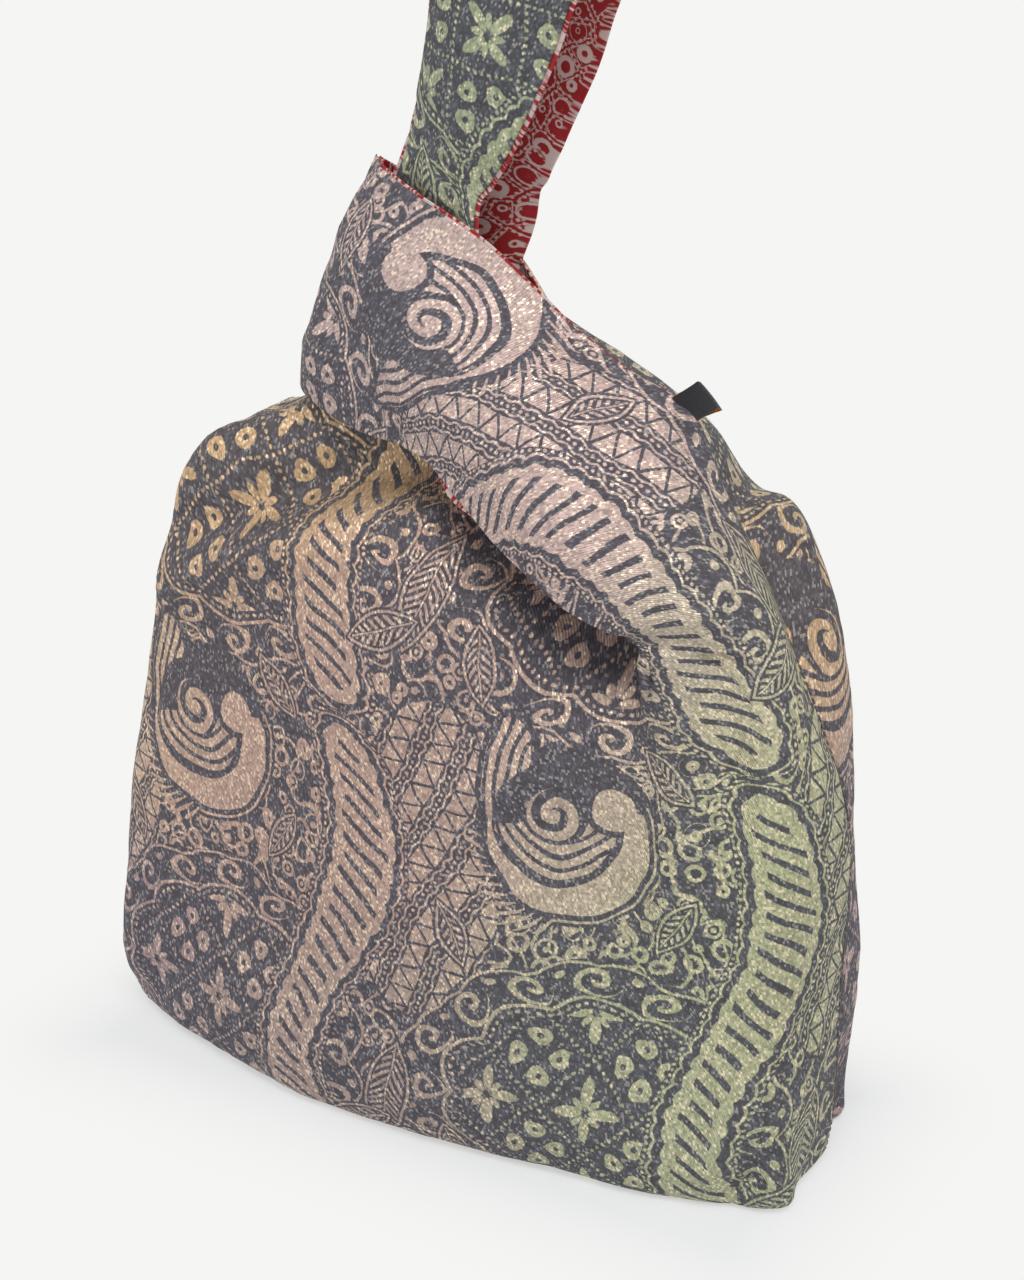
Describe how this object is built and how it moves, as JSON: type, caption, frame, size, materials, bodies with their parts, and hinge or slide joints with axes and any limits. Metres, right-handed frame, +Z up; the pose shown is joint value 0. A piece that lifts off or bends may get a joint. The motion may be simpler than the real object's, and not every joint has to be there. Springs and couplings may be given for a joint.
{
  "type": "shopping bag",
  "caption": "Cloth knot bag with a boxed base, whose wide short strap closes as a loop round a long strap that draws the mouth shut.",
  "frame": {"origin": "on the surface the bag stands on, under the middle of the whole bag", "axes": "+X to the right of the front panel, -Y out of the front panel, +Z up"},
  "size_m": [0.289, 0.1172, 0.486],
  "materials": {
    "brocade": "metallic batik-print brocade on fused interlining",
    "lining": "red printed cotton",
    "thread": "matt sewing thread",
    "label": "plain black woven ribbon"
  },
  "bodies": {
    "bag": {"front_panel": "brocade", "back_panel": "brocade", "front_panel_lining": "lining", "back_panel_lining": "lining", "side_seam_left": "thread", "side_seam_right": "thread", "base_seam": "thread", "corner_seam_left": "thread", "corner_seam_right": "thread", "short_strap_seam": "thread"},
    "strap_root": {"front_strap_root": "brocade", "back_strap_root": "brocade", "front_strap_root_lining": "lining", "back_strap_root_lining": "lining"},
    "long_strap": {"front_long_strap": "brocade", "back_long_strap": "brocade", "front_long_strap_lining": "lining", "back_long_strap_lining": "lining", "long_strap_seam": "thread"},
    "label": {"woven_label": "label"}
  },
  "joints": [
    {"name": "long_strap_draw", "type": "slide", "parent": "bag", "child": "strap_root", "axis": [0.3907, 0, 0.9205], "range_m": [0, 0.015]},
    {"name": "long_strap_fold", "type": "hinge", "parent": "strap_root", "child": "long_strap", "pos_m": [-0.01, 0, 0.334], "axis": [0.9205, 0, -0.3907], "range_deg": [-55, 55]},
    {"name": "label_flip", "type": "hinge", "parent": "bag", "child": "label", "pos_m": [0.07818, -0.00338, 0.27042], "axis": [0.7547, 0.0949, -0.6492], "range_deg": [-50, 50], "stiffness_Nm_per_rad": 0.001}
  ]
}
